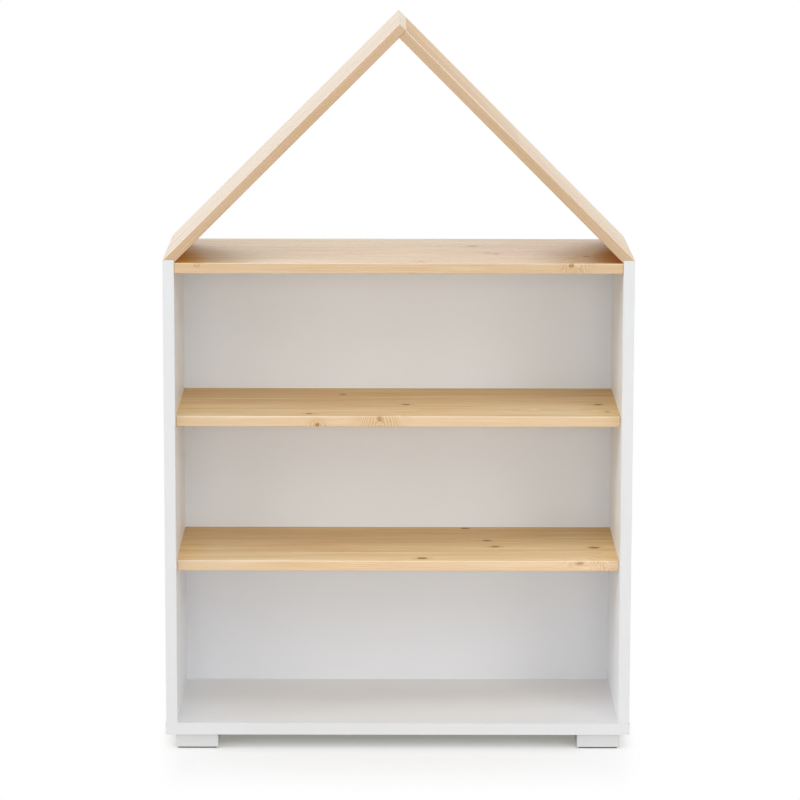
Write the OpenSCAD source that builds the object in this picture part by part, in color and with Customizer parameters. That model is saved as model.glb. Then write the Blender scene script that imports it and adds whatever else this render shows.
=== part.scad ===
// House shaped bookcase for a child's room: a white case of three bays on four block feet, with pine
// shelves and an open gable of two pine roof boards on top.
// The front faces -Y, +X is to the right, +Z is up. The origin is on the floor, midway across the width and
// midway between the front and rear edges. All sizes are in millimetres.

/* [Case] */
// Width over the two side panels
case_w = 750; // [600:10:900]
// Depth of the side panels, with their front edging
case_d = 300; // [240:5:400]
// Thickness of the white side panels
side_t = 18; // [15:1:22]
// Thickness of the white bottom panel
bottom_t = 19; // [16:1:25]
// Thickness of the white edging strips
edging_t = 1; // [0.6:0.1:2]

/* [Shelves] */
// Thickness of the three pine shelves
shelf_t = 17; // [15:1:22]
// Clear height of the bay between the bottom panel and the lower shelf
lower_bay_h = 246; // [180:1:340]
// Clear height of the bay between the lower and the middle shelf
middle_bay_h = 220; // [180:1:340]
// Clear height of the bay between the middle and the top shelf
upper_bay_h = 235; // [180:1:340]
// Distance of the lower and the middle shelf behind the front of the case
shelf_setback = 30; // [0:1:60]

/* [Roof] */
// Thickness of the two pine roof boards
roof_t = 16; // [14:1:20]
// Radius of the softened arrises on the pine boards
arris_r = 1.5; // [0.5:0.1:3]

/* [Feet] */
// Width of a foot
foot_w = 68; // [40:1:90]
// Depth of a foot
foot_d = 68; // [40:1:90]
// Height of a foot
foot_h = 24; // [18:1:40]
// Radius of the rounded lower and upright edges of a foot
foot_edge_r = 1.5; // [0.5:0.1:3]
// Height of the narrower base that a foot stands on
foot_base_h = 2; // [1:0.5:4]
// Distance of that base inside the sides of the foot
foot_base_inset = 3; // [1:0.5:6]
// Distance of the feet from the front and rear edges of the bottom panel
foot_setback = 5; // [0:1:30]
// Distance of a foot's outer side from the outside of the case
foot_inset = 16; // [2:1:40]
// Distance between the two screws of a foot
foot_screw_step = 34; // [20:1:50]

/* [Back panel] */
// Thickness of the back panel
back_t = 3; // [2.5:0.5:5]
// Width of the rebate that holds the edges of the back panel
rebate_w = 8; // [6:1:10]
// Extra depth of the rebate behind the back panel, which keeps the nail heads in
rebate_spare = 1; // [0.8:0.1:2]
// Gap between the edges of the back panel and the end of the rebate
panel_gap = 1; // [0.5:0.1:2]
// Distance of the back panel's upper edge below the top face of the top shelf
panel_drop = 1; // [0:0.5:4]

/* [Fittings] */
// Distance from the edge of a board to the nearest connecting bolt or base screw
fitting_inset = 50; // [35:1:60]
// Distance from a connecting bolt to the dowel beside it
dowel_step = 32; // [20:1:40]
// Diameter of the wooden dowels
dowel_d = 8; // [6:1:10]
// Length of the wooden dowels
dowel_l = 30; // [25:1:35]
// Diameter of the cam fittings
cam_d = 15; // [12:1:16]
// Height of the cam fittings beyond the middle of the board that holds them
cam_cap = 4; // [3.6:0.1:5]
// Distance from the end of a board to the centre of its cam fittings
cam_reach = 34; // [24:1:40]
// Length of the thread that a connecting bolt has in the panel
bolt_thread_l = 11; // [9:0.5:12]
// Length of the thread that an angled bolt has in the top edge of the side panel
eave_thread_l = 22; // [15:1:30]
// Length of the screws between the bottom panel and the side panels
base_screw_l = 50; // [40:5:60]
// Length of the screws that hold the feet
foot_screw_l = 25; // [22:1:30]
// Thickness of the bottom panel left above the tip of a foot screw
foot_screw_cover = 5; // [3:0.5:8]
// Length of the nails in the back panel
nail_l = 18; // [15:1:25]
// Number of nails in each edge of the back panel
edge_nails = 5; // [3:1:8]
// Distance from the end of an edge to its first nail
nail_inset = 50; // [30:1:80]
// Number of nails in the lower and in the middle shelf
shelf_nails = 3; // [2:1:5]
// Distance from the end of a shelf to its first nail
shelf_nail_inset = 120; // [80:1:200]

/* [Hidden] */
$fn = 48;

// Colours of the materials
white_board = [0.93, 0.93, 0.92];
white_plastic = [0.90, 0.90, 0.89];
pine_wood = [0.87, 0.73, 0.54];
beech_wood = [0.80, 0.64, 0.47];
zinc_metal = [0.70, 0.71, 0.73];
steel_metal = [0.60, 0.61, 0.63];

// How far a cut runs past the surface that it opens
cut_spare = 1;
// Gap all round a round fitting in its hole
hole_gap = 0.1;
// Gap at the blind end of a hole
end_gap = 0.5;

// Levels above the floor
case_z = foot_h + bottom_t;
lower_shelf_z = case_z + lower_bay_h;
middle_shelf_z = lower_shelf_z + shelf_t + middle_bay_h;
top_shelf_z = middle_shelf_z + shelf_t + upper_bay_h;
top_face_z = top_shelf_z + shelf_t;

// The roof boards slope at 45 degrees and meet at a right angle. The foot of each sits over the whole top
// edge of a side panel and hooks over its inner side by the heel drop, down to the top shelf.
roof_slope = 45;
heel_drop = max(roof_t / cos(roof_slope) - side_t * tan(roof_slope), 0);
side_top_z = top_face_z + heel_drop;
left_roof_l = case_w / 2 / cos(roof_slope);
right_roof_l = left_roof_l - roof_t;

// Planes across the width and the depth
inner_w = case_w - 2 * side_t;
front_y = -case_d / 2;
rear_y = case_d / 2;
back_face_y = rear_y - back_t - rebate_spare;
shelf_front_y = front_y + shelf_setback;

// Round shapes of the connecting bolts, of the angled bolts' hinges and of the cam fittings
thread_d = 5;
collar_d = 7;
collar_l = 2;
stem_d = 6;
hinge_d = 7;
neck_d = 3.4;
bolt_head_d = 6.6;
bolt_head_l = 3;
cam_wall = 0.4;
cam_socket_d = bolt_head_d + 4 * hole_gap;
cam_entry_d = cam_socket_d + 4 * hole_gap;
cam_slot_w = neck_d + 4 * hole_gap;
cam_slot_sweep = 125;
cam_cross_l = 8;
cam_cross_w = 1.4;
cam_cross_h = 2;
bolt_bore_d = 8;

// Wooden dowels: the part in the panel's face is the shorter one
dowel_tip = 1;
dowel_short_l = 11;

// Screws and nails
base_head_d = 10;
base_head_l = 4;
base_shank_d = 7;
base_shank_l = 12;
base_key_w = 4.6;
base_key_l = 3;
foot_screw_d = 4;
foot_head_d = 8;
foot_head_l = 2.4;
foot_slot_w = 1.2;
foot_slot_l = 5;
foot_slot_h = 1.2;
foot_counterbore_d = foot_head_d + 2;
screw_tip_l = 3;
nail_d = 1.6;
nail_head_d = 3;
nail_head_l = 0.6;

// Height of the counterbore in a foot, so that the tips of its screws keep their cover
foot_counterbore_h = foot_h + bottom_t - foot_screw_cover - foot_screw_l;

// Places of the fittings along the depth: the first pair is for the case and the roof
case_bolt_y = [front_y + fitting_inset, rear_y - fitting_inset];
case_dowel_y = case_bolt_y + [dowel_step, -dowel_step];

function shelf_bolt_y(shelf_y) = [shelf_y + fitting_inset, back_face_y - fitting_inset];
function shelf_dowel_y(shelf_y) = shelf_bolt_y(shelf_y) + [dowel_step, -dowel_step];

// The studs of the angled bolts pass between the bolts and the dowels of the top shelf
eave_bolt_y = (shelf_bolt_y(front_y) + shelf_dowel_y(front_y)) / 2;

// Count values evenly spaced from low to high
function spread(low, high, count) = [for (i = [0 : count - 1]) low + (high - low) * i / (count - 1)];

// ---- Shapes used more than once ----

// Its children, and their mirror image on the right
module both_sides() {
    children();
    mirror([1, 0, 0]) children();
}

// A hole or a plain pin that runs along +X from the origin
module along_x(d, l) {
    rotate([0, 90, 0]) cylinder(d = d, h = l);
}

// A rectangle with four soft corners, from x = 0 and with its middle at y = 0
module soft_rectangle(w, h, r) {
    translate([0, r - h / 2]) square([w, h - 2 * r]);
    translate([r, -h / 2]) square([w - 2 * r, h]);
    for (x = [r, w - r], y = [r - h / 2, h / 2 - r]) {
        translate([x, y]) circle(r);
    }
}

// A dowel along +X whose shorter part lies behind the joint plane at x = 0
module dowel() {
    r = dowel_d / 2;
    translate([-dowel_short_l, 0, 0]) rotate([0, 90, 0]) rotate_extrude()
        polygon([
            [0, 0], [r - dowel_tip, 0], [r, dowel_tip],
            [r, dowel_l - dowel_tip], [r - dowel_tip, dowel_l], [0, dowel_l]
        ]);
}

// The hole for that dowel, on both sides of the joint plane
module dowel_hole() {
    translate([-dowel_short_l - end_gap, 0, 0]) along_x(dowel_d + 2 * hole_gap, dowel_l + 2 * end_gap);
}

// The stem, neck and head of a connecting bolt along +X, from x = start to the centre of its cam
module bolt_stem(start) {
    neck_x = cam_reach - cam_d / 2 - cam_wall;
    head_x = cam_reach - bolt_head_l / 2;
    translate([start, 0, 0]) along_x(stem_d, neck_x - start);
    translate([neck_x, 0, 0]) along_x(neck_d, head_x - neck_x);
    translate([head_x, 0, 0]) along_x(bolt_head_d, bolt_head_l);
}

// A connecting bolt along +X: thread behind the joint plane, collar, stem, neck and head before it
module connecting_bolt() {
    translate([-bolt_thread_l, 0, 0]) along_x(thread_d, bolt_thread_l);
    along_x(collar_d, collar_l);
    bolt_stem(collar_l);
}

// The hole for the thread of that bolt, behind the joint plane
module thread_hole() {
    translate([-bolt_thread_l - end_gap, 0, 0])
        along_x(thread_d + 2 * hole_gap, bolt_thread_l + end_gap + cut_spare);
}

// The hole for the stem of a bolt, in the board that holds its cam
module stem_hole(start) {
    translate([start, 0, 0]) along_x(bolt_bore_d, cam_reach - start);
}

// The round pocket of a cam, in a board of the thickness board_t whose bolt runs along +X in its middle. The
// mouth of the pocket is in the face below the bolt.
module cam_pocket(board_t) {
    translate([cam_reach, 0, -board_t / 2 - cut_spare])
        cylinder(d = cam_d + 2 * hole_gap, h = cut_spare + board_t / 2 + cam_cap + end_gap);
}

// The cam in that pocket, flush with the face below the bolt. The bolt's head goes in through the wide entry,
// and the narrow slot holds its neck once the cam is turned.
module cam(board_t) {
    translate([cam_reach, 0, 0]) difference() {
        translate([0, 0, -board_t / 2]) cylinder(d = cam_d, h = board_t / 2 + cam_cap);
        translate([-cam_socket_d / 2, 0, 0]) along_x(cam_socket_d, cam_socket_d);
        rotate([0, 0, 90]) {
            along_x(cam_entry_d, cam_d);
            rotate_extrude(angle = cam_slot_sweep) translate([neck_d / 2, -cam_slot_w / 2])
                square([cam_d, cam_slot_w]);
        }
        for (turn = [0, 90]) {
            rotate([0, 0, turn]) translate([-cam_cross_l / 2, -cam_cross_w / 2, -board_t / 2 - cut_spare])
                cube([cam_cross_l, cam_cross_w, cut_spare + cam_cross_h]);
        }
    }
}

// ---- Places of the fittings, all on the left half ----

// The joint between the left end of a shelf and the side panel, with +X into the shelf
module at_shelf_end(shelf_z, places) {
    for (y = places) {
        translate([-inner_w / 2, y, shelf_z + shelf_t / 2]) children();
    }
}

// The joint between the bottom panel and the left side panel, with +X up into the side panel
module at_side_foot(places) {
    for (y = places) {
        translate([(side_t - case_w) / 2, y, case_z]) rotate([0, -90, 0]) children();
    }
}

// The outer lower corner of the left roof board, with +Z up its slope and +X from its outer to its inner face
module roof_frame() {
    translate([-case_w / 2, 0, side_top_z]) rotate([0, roof_slope, 0]) children();
}

// The middle of the roof board's thickness at its seat, with +X up the slope and +Z to its outer face
module at_eave() {
    for (y = eave_bolt_y) {
        roof_frame() translate([roof_t / 2, y, roof_t / 2]) rotate([0, -90, 0]) children();
    }
}

// The upper end of the right roof board, mirrored to the left, with +X down it and +Z to its outer face
module at_ridge(places) {
    for (y = places) {
        roof_frame() translate([roof_t / 2, y, right_roof_l])
            rotate([0, -90, 0]) rotate([0, 0, 180]) children();
    }
}

// A foot of the left half; rear is 0 for the front one and 1 for the rear one
module at_foot(rear) {
    foot_x = foot_inset - case_w / 2;
    foot_y = rear == 0 ? front_y + foot_setback : rear_y - foot_setback - foot_d;
    translate([foot_x, foot_y, 0]) children();
}

// The two screws of a foot, in the foot's own corner frame
module at_foot_screws() {
    for (side = [-1, 1]) {
        translate([foot_w / 2, foot_d / 2 + side * foot_screw_step / 2, foot_counterbore_h]) children();
    }
}

// The nails of the back panel, with +Z out of the rear face of the panel
module at_nails() {
    side_x = inner_w / 2 + rebate_w / 2;
    side_z = spread(case_z + nail_inset, top_face_z - nail_inset, edge_nails);
    edge_x = spread(nail_inset - inner_w / 2, inner_w / 2 - nail_inset, edge_nails);
    shelf_x = spread(shelf_nail_inset - inner_w / 2, inner_w / 2 - shelf_nail_inset, shelf_nails);
    places = concat(
        [for (z = side_z, x = [-side_x, side_x]) [x, z]],
        [for (x = edge_x) [x, case_z - rebate_w / 2]],
        [for (x = edge_x) [x, top_shelf_z + shelf_t / 2]],
        [for (x = shelf_x, z = [lower_shelf_z, middle_shelf_z]) [x, z + shelf_t / 2]]
    );
    for (place = places) {
        translate([place[0], back_face_y + back_t, place[1]]) rotate([-90, 0, 0]) children();
    }
}

// The hole that a nail makes
module nail_hole() {
    translate([0, 0, -nail_l - end_gap])
        cylinder(d = nail_d + 2 * hole_gap, h = nail_l + end_gap + cut_spare);
}

// ---- White case ----

// The left side panel, without its edging
module side_panel() {
    difference() {
        translate([-case_w / 2, front_y + edging_t, case_z])
            cube([side_t, case_d - edging_t, side_top_z - case_z]);
        // rebate for the back panel
        translate([-inner_w / 2 - rebate_w, back_face_y, case_z - cut_spare])
            cube([rebate_w + cut_spare, case_d, side_top_z - case_z + 2 * cut_spare]);
        // joints with the shelves
        at_shelf_end(top_shelf_z, shelf_bolt_y(front_y)) thread_hole();
        at_shelf_end(top_shelf_z, shelf_dowel_y(front_y)) dowel_hole();
        for (z = [lower_shelf_z, middle_shelf_z]) {
            at_shelf_end(z, shelf_bolt_y(shelf_front_y)) thread_hole();
            at_shelf_end(z, shelf_dowel_y(shelf_front_y)) dowel_hole();
        }
        // joints with the bottom panel and the roof board
        at_side_foot(case_bolt_y) base_screw_hole();
        at_side_foot(case_dowel_y) dowel_hole();
        at_hinge() eave_stud_hole();
        at_nails() nail_hole();
    }
}

module left_side_panel() {
    color(white_board) side_panel();
}

module right_side_panel() {
    color(white_board) mirror([1, 0, 0]) side_panel();
}

module bottom_panel() {
    rebate_l = inner_w + 2 * rebate_w;
    color(white_board) difference() {
        translate([-case_w / 2, front_y + edging_t, foot_h]) cube([case_w, case_d - edging_t, bottom_t]);
        // rebate for the back panel, stopped at its ends
        translate([-rebate_l / 2, back_face_y, case_z - rebate_w])
            cube([rebate_l, case_d, rebate_w + cut_spare]);
        both_sides() {
            at_side_foot(case_bolt_y) base_screw_hole();
            at_side_foot(case_dowel_y) dowel_hole();
            for (rear = [0, 1]) {
                at_foot(rear) at_foot_screws() foot_screw_hole();
            }
        }
        at_nails() nail_hole();
    }
}

module back_panel() {
    panel_w = inner_w + 2 * (rebate_w - panel_gap);
    panel_z = case_z - rebate_w + panel_gap;
    color(white_board) difference() {
        translate([-panel_w / 2, back_face_y, panel_z])
            cube([panel_w, back_t, top_face_z - panel_drop - panel_z]);
        at_nails() nail_hole();
    }
}

module side_edging() {
    translate([-case_w / 2, front_y, case_z]) cube([side_t, edging_t, side_top_z - case_z]);
}

module left_side_edging() {
    color(white_plastic) side_edging();
}

module right_side_edging() {
    color(white_plastic) mirror([1, 0, 0]) side_edging();
}

module bottom_front_edging() {
    edging_l = case_w + 2 * edging_t;
    color(white_plastic) translate([-edging_l / 2, front_y, foot_h]) cube([edging_l, edging_t, bottom_t]);
}

module bottom_end_edging() {
    translate([-case_w / 2 - edging_t, front_y + edging_t, foot_h])
        cube([edging_t, case_d - edging_t, bottom_t]);
}

module bottom_left_edging() {
    color(white_plastic) bottom_end_edging();
}

module bottom_right_edging() {
    color(white_plastic) mirror([1, 0, 0]) bottom_end_edging();
}

// ---- Pine shelves ----

// A shelf whose underside is at shelf_z and whose front edge is at shelf_y, with soft front arrises
module shelf(shelf_z, shelf_y) {
    shelf_d = back_face_y - shelf_y;
    difference() {
        translate([0, shelf_y, shelf_z]) rotate([90, 0, 90]) linear_extrude(height = inner_w, center = true) {
            translate([arris_r, 0]) square([shelf_d - arris_r, shelf_t]);
            translate([0, arris_r]) square([arris_r, shelf_t - 2 * arris_r]);
            for (y = [arris_r, shelf_t - arris_r]) {
                translate([arris_r, y]) circle(arris_r);
            }
        }
        both_sides() {
            at_shelf_end(shelf_z, shelf_bolt_y(shelf_y)) {
                stem_hole(-cut_spare);
                cam_pocket(shelf_t);
            }
            at_shelf_end(shelf_z, shelf_dowel_y(shelf_y)) dowel_hole();
        }
        at_nails() nail_hole();
    }
}

module shelf_bolts(shelf_z, shelf_y) {
    color(zinc_metal) both_sides() at_shelf_end(shelf_z, shelf_bolt_y(shelf_y)) connecting_bolt();
}

module shelf_cams(shelf_z, shelf_y) {
    color(zinc_metal) both_sides() at_shelf_end(shelf_z, shelf_bolt_y(shelf_y)) cam(shelf_t);
}

module shelf_dowels(shelf_z, shelf_y) {
    color(beech_wood) both_sides() at_shelf_end(shelf_z, shelf_dowel_y(shelf_y)) dowel();
}

module top_shelf() {
    color(pine_wood) shelf(top_shelf_z, front_y);
}

module middle_shelf() {
    color(pine_wood) shelf(middle_shelf_z, shelf_front_y);
}

module lower_shelf() {
    color(pine_wood) shelf(lower_shelf_z, shelf_front_y);
}

module top_shelf_bolts() {
    shelf_bolts(top_shelf_z, front_y);
}

module top_shelf_cams() {
    shelf_cams(top_shelf_z, front_y);
}

module top_shelf_dowels() {
    shelf_dowels(top_shelf_z, front_y);
}

module middle_shelf_bolts() {
    shelf_bolts(middle_shelf_z, shelf_front_y);
}

module middle_shelf_cams() {
    shelf_cams(middle_shelf_z, shelf_front_y);
}

module middle_shelf_dowels() {
    shelf_dowels(middle_shelf_z, shelf_front_y);
}

module lower_shelf_bolts() {
    shelf_bolts(lower_shelf_z, shelf_front_y);
}

module lower_shelf_cams() {
    shelf_cams(lower_shelf_z, shelf_front_y);
}

module lower_shelf_dowels() {
    shelf_dowels(lower_shelf_z, shelf_front_y);
}

// ---- Pine roof ----

// A roof board of the left half, board_l long on its outer face. A level cut seats its foot on the top edge
// of the side panel and leaves a small heel inside the panel.
module roof_board(board_l) {
    difference() {
        roof_frame() translate([0, 0, -cut_spare]) linear_extrude(height = board_l + cut_spare)
            soft_rectangle(roof_t, case_d, arris_r);
        translate([-case_w / 2 - roof_t, front_y - cut_spare, side_top_z - roof_t])
            cube([side_t + roof_t, case_d + 2 * cut_spare, roof_t]);
        at_eave() {
            stem_hole(-roof_t);
            cam_pocket(roof_t);
        }
    }
}

// The left roof board runs through to the ridge, so the joint's bolts and dowels enter its inner face
module left_roof_board() {
    color(pine_wood) difference() {
        roof_board(left_roof_l);
        mirror([1, 0, 0]) {
            at_ridge(case_bolt_y) thread_hole();
            at_ridge(case_dowel_y) dowel_hole();
        }
    }
}

// The right roof board butts against the inner face of the left one
module right_roof_board() {
    color(pine_wood) mirror([1, 0, 0]) difference() {
        roof_board(right_roof_l);
        at_ridge(case_bolt_y) {
            stem_hole(-cut_spare);
            cam_pocket(roof_t);
        }
        at_ridge(case_dowel_y) dowel_hole();
    }
}

module ridge_bolts() {
    color(zinc_metal) mirror([1, 0, 0]) at_ridge(case_bolt_y) connecting_bolt();
}

module ridge_cams() {
    color(zinc_metal) mirror([1, 0, 0]) at_ridge(case_bolt_y) cam(roof_t);
}

module ridge_dowels() {
    color(beech_wood) mirror([1, 0, 0]) at_ridge(case_dowel_y) dowel();
}

// The hinge of an angled bolt, where the middle of the roof board's thickness meets the seat, with +Z up
module at_hinge() {
    for (y = eave_bolt_y) {
        translate([roof_t / 2 / cos(roof_slope) - case_w / 2, y, side_top_z]) children();
    }
}

// An angled bolt: a stud down into the side panel, a round hinge at the seat, and a neck and a stem up the
// roof board. The stem starts where its end clears the seat.
module eave_bolts() {
    stem_start = stem_d / 2 + hole_gap;
    at_eave() {
        along_x(neck_d, stem_start);
        bolt_stem(stem_start);
    }
    at_hinge() {
        sphere(d = hinge_d);
        translate([0, 0, -eave_thread_l]) cylinder(d = stem_d, h = eave_thread_l);
    }
}

// The hole for that stud in the top edge of the side panel, wider at its mouth for the hinge
module eave_stud_hole() {
    translate([0, 0, -hinge_d / 2 - end_gap])
        cylinder(d = hinge_d + 2 * hole_gap, h = hinge_d);
    translate([0, 0, -eave_thread_l - end_gap])
        cylinder(d = stem_d + 2 * hole_gap, h = eave_thread_l + end_gap);
}

module eave_cams() {
    at_eave() cam(roof_t);
}

module left_eave_bolts() {
    color(zinc_metal) eave_bolts();
}

module left_eave_cams() {
    color(zinc_metal) eave_cams();
}

module right_eave_bolts() {
    color(zinc_metal) mirror([1, 0, 0]) eave_bolts();
}

module right_eave_cams() {
    color(zinc_metal) mirror([1, 0, 0]) eave_cams();
}

// ---- Feet and base ----

// A rectangle of twice the block's height, which rounds a foot's lower edges where it cuts the block
module foot_outline(w) {
    translate([0, foot_h]) soft_rectangle(w, 2 * (foot_h - foot_base_h), foot_edge_r);
}

// A block on a narrower base, which leaves a shadow gap at the floor
module foot() {
    base_w = foot_w - 2 * foot_base_inset;
    base_d = foot_d - 2 * foot_base_inset;
    difference() {
        union() {
            intersection() {
                translate([0, foot_d / 2, 0]) linear_extrude(height = foot_h)
                    soft_rectangle(foot_w, foot_d, foot_edge_r);
                rotate([90, 0, 90]) linear_extrude(height = foot_w) foot_outline(foot_d);
                translate([0, foot_d, 0]) rotate([90, 0, 0]) linear_extrude(height = foot_d)
                    foot_outline(foot_w);
            }
            translate([foot_base_inset, foot_d / 2, 0]) linear_extrude(height = foot_h / 2)
                soft_rectangle(base_w, base_d, foot_edge_r);
        }
        at_foot_screws() {
            foot_screw_hole();
            translate([0, 0, -foot_counterbore_h - cut_spare])
                cylinder(d = foot_counterbore_d, h = foot_counterbore_h + cut_spare);
        }
    }
}

module front_left_foot() {
    color(white_plastic) at_foot(0) foot();
}

module front_right_foot() {
    color(white_plastic) mirror([1, 0, 0]) at_foot(0) foot();
}

module rear_left_foot() {
    color(white_plastic) at_foot(1) foot();
}

module rear_right_foot() {
    color(white_plastic) mirror([1, 0, 0]) at_foot(1) foot();
}

// A foot screw along +Z, with the underside of its head in the plane z = 0
module foot_screw() {
    r = foot_screw_d / 2;
    difference() {
        rotate_extrude() polygon([
            [0, -foot_head_l], [foot_head_d / 2, -foot_head_l], [foot_head_d / 2, 0], [r, 0],
            [r, foot_screw_l - screw_tip_l], [0, foot_screw_l]
        ]);
        for (turn = [0, 90]) {
            rotate([0, 0, turn]) translate([-foot_slot_l / 2, -foot_slot_w / 2, -foot_head_l - cut_spare])
                cube([foot_slot_l, foot_slot_w, foot_slot_h + cut_spare]);
        }
    }
}

module foot_screw_hole() {
    translate([0, 0, -cut_spare])
        cylinder(d = foot_screw_d + 2 * hole_gap, h = foot_screw_l + end_gap + cut_spare);
}

module foot_screws() {
    color(steel_metal) both_sides() {
        for (rear = [0, 1]) {
            at_foot(rear) at_foot_screws() foot_screw();
        }
    }
}

// A base screw along +X: its countersunk head is flush with the underside of the bottom panel
module base_screw() {
    r = thread_d / 2;
    translate([-bottom_t, 0, 0]) rotate([0, 90, 0]) difference() {
        rotate_extrude() polygon([
            [0, 0], [base_head_d / 2, 0], [base_shank_d / 2, base_head_l], [base_shank_d / 2, base_shank_l],
            [r, base_shank_l], [r, base_screw_l - screw_tip_l], [0, base_screw_l]
        ]);
        translate([0, 0, -cut_spare]) cylinder(d = base_key_w, h = base_key_l + cut_spare, $fn = 6);
    }
}

module base_screw_hole() {
    flare = (base_head_d - base_shank_d) / 2 / base_head_l;
    translate([-bottom_t, 0, 0]) rotate([0, 90, 0]) {
        translate([0, 0, -cut_spare]) cylinder(
            r1 = base_head_d / 2 + hole_gap + flare * cut_spare,
            r2 = base_shank_d / 2 + hole_gap,
            h = base_head_l + cut_spare
        );
        cylinder(d = base_shank_d + 2 * hole_gap, h = base_shank_l + end_gap);
        cylinder(d = thread_d + 2 * hole_gap, h = base_screw_l + end_gap);
    }
}

module base_screws() {
    color(steel_metal) both_sides() at_side_foot(case_bolt_y) base_screw();
}

module base_dowels() {
    color(beech_wood) both_sides() at_side_foot(case_dowel_y) dowel();
}

module back_panel_nails() {
    color(steel_metal) at_nails() {
        cylinder(d = nail_head_d, h = nail_head_l);
        translate([0, 0, -nail_l]) cylinder(d = nail_d, h = nail_l);
    }
}

left_side_panel();
right_side_panel();
bottom_panel();
back_panel();
left_side_edging();
right_side_edging();
bottom_front_edging();
bottom_left_edging();
bottom_right_edging();
top_shelf();
middle_shelf();
lower_shelf();
left_roof_board();
right_roof_board();
front_left_foot();
front_right_foot();
rear_left_foot();
rear_right_foot();
foot_screws();
base_screws();
base_dowels();
top_shelf_bolts();
top_shelf_cams();
top_shelf_dowels();
middle_shelf_bolts();
middle_shelf_cams();
middle_shelf_dowels();
lower_shelf_bolts();
lower_shelf_cams();
lower_shelf_dowels();
ridge_bolts();
ridge_cams();
ridge_dowels();
left_eave_bolts();
left_eave_cams();
right_eave_bolts();
right_eave_cams();
back_panel_nails();
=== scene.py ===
"""House shaped bookcase: finishes, floor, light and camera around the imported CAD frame.

Metres, in the row frame: +X to the right, +Y from the open front to the back, +Z up, the floor at z = 0.
"""
import math
from collections import namedtuple

import bpy
from mathutils import Euler, Matrix, Vector


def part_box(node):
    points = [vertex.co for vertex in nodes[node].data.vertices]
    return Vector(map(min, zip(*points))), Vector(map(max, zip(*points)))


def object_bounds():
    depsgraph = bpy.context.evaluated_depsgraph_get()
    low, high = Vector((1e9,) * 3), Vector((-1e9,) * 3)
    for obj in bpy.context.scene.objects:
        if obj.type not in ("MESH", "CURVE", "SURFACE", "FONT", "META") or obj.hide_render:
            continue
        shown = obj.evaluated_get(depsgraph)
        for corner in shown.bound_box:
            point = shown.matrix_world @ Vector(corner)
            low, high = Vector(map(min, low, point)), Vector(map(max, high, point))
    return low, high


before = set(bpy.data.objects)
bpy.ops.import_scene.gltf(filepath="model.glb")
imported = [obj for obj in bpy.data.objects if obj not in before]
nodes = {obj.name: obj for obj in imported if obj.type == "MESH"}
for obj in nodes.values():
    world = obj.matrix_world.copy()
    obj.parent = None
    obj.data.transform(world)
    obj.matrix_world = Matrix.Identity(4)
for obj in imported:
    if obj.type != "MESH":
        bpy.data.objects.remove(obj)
cad_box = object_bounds()


# ---- Node trees ----


def rgb(red, green, blue):
    return (red, green, blue, 1.0)


class Graph:
    """Short calls that build one node tree. An input is a number, a tuple or another node's socket."""

    def __init__(self, name, tree=None):
        self.material = None
        if tree is None:
            self.material = bpy.data.materials.new(name)
            self.material.use_nodes = True
            tree = self.material.node_tree
            tree.nodes.clear()
        self.tree = tree

    def add(self, kind, inputs=None, output=0, **settings):
        """A new node; returns one of its outputs, or all of them with output=None."""
        node = self.tree.nodes.new(kind)
        for key, value in settings.items():
            setattr(node, key, value)
        for key, value in (inputs or {}).items():
            if isinstance(value, bpy.types.NodeSocket):
                self.tree.links.new(value, node.inputs[key])
            else:
                node.inputs[key].default_value = value
        return node.outputs if output is None else node.outputs[output]

    def object_point(self):
        """The point in the row frame, because every node's object sits at the origin."""
        return self.add("ShaderNodeTexCoord", output="Object")

    def math(self, operation, *values):
        return self.add("ShaderNodeMath", dict(enumerate(values)), operation=operation)

    def plus(self, first, *others):
        for other in others:
            first = self.math("ADD", first, other)
        return first

    def times(self, first, *others):
        for other in others:
            first = self.math("MULTIPLY", first, other)
        return first

    def vector(self, operation, *values, output=0):
        return self.add("ShaderNodeVectorMath", dict(enumerate(values)), output, operation=operation)

    def xyz(self, vector):
        return self.add("ShaderNodeSeparateXYZ", {0: vector}, None)

    def join(self, x, y, z):
        return self.add("ShaderNodeCombineXYZ", {0: x, 1: y, 2: z})

    def scaled(self, x, y, z, factors):
        return self.join(*(self.times(value, factor) for value, factor in zip((x, y, z), factors)))

    def noise(self, vector, scale, detail=2.0, roughness=0.5, output=0):
        values = {"Vector": vector, "Scale": scale, "Detail": detail, "Roughness": roughness}
        return self.add("ShaderNodeTexNoise", values, output)

    def remap(self, value, low, high, to_low=0.0, to_high=1.0, curve="LINEAR"):
        """value from low..high to to_low..to_high, held at the ends."""
        values = {"Value": value, 1: low, 2: high, 3: to_low, 4: to_high}
        return self.add("ShaderNodeMapRange", values, interpolation_type=curve)

    def vary(self, noise, low=0.0, high=1.0):
        """A noise, which mostly lies between 0.3 and 0.7, spread over low..high."""
        return self.remap(noise, 0.3, 0.7, low, high)

    def mix(self, factor, a, b, blend="MIX"):
        return self.add("ShaderNodeMix", {0: factor, 6: a, 7: b}, 2, data_type="RGBA", blend_type=blend)

    def tinted(self, colour, tone):
        return self.mix(1.0, colour, tone, "MULTIPLY")

    def dimmed(self, colour, level):
        return self.tinted(colour, self.join(level, level, level))

    def bump(self, height, strength, distance):
        values = {"Height": height, "Strength": strength, "Distance": distance}
        return self.add("ShaderNodeBump", values)

    def finish(self, shader):
        self.add("ShaderNodeOutputMaterial", {"Surface": shader}, None)
        return self.material

    def principled(self, inputs):
        """Ends the tree with a Principled shader and returns its material."""
        return self.finish(self.add("ShaderNodeBsdfPrincipled", inputs))


# ---- Knots ----

KNOT_HEART = rgb(0.37, 0.19, 0.04)
KNOT_RIM = rgb(0.15, 0.06, 0.01)
KNOT_HALO = rgb(0.66, 0.39, 0.15)
RAGGED = 0.0026  # how far a knot's outline wanders

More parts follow.
